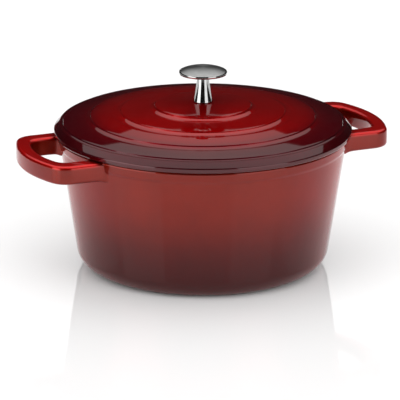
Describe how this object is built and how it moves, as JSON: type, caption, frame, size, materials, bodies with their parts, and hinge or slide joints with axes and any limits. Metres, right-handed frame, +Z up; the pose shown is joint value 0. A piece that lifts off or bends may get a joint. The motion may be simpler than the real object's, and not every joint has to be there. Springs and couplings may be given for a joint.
{
  "type": "dutch oven",
  "caption": "Round enamelled cast iron dutch oven with cast loop handles, a lift-off lid with stepped rings and a turned steel knob.",
  "frame": {"origin": "middle of the flat base, on the surface the pot stands on", "axes": "+X towards one loop handle, -Y the front, +Z up through the knob"},
  "size_m": [0.3208, 0.25, 0.1704],
  "materials": {
    "pot_enamel": "gloss red enamel over cast iron",
    "lid_enamel": "gloss deep red enamel over cast iron",
    "knob_steel": "polished stainless steel",
    "screw_steel": "plain machine screw",
    "washer_steel": "plain"
  },
  "bodies": {
    "pot": {"pot_body": "pot_enamel"},
    "lid": {"lid": "lid_enamel", "knob": "knob_steel", "knob_screw": "screw_steel", "screw_washer": "washer_steel"}
  },
  "joints": [
    {"name": "lid_lift", "type": "slide", "parent": "pot", "child": "lid", "axis": [0, 0, 1], "range_m": [0, 0.15]}
  ]
}
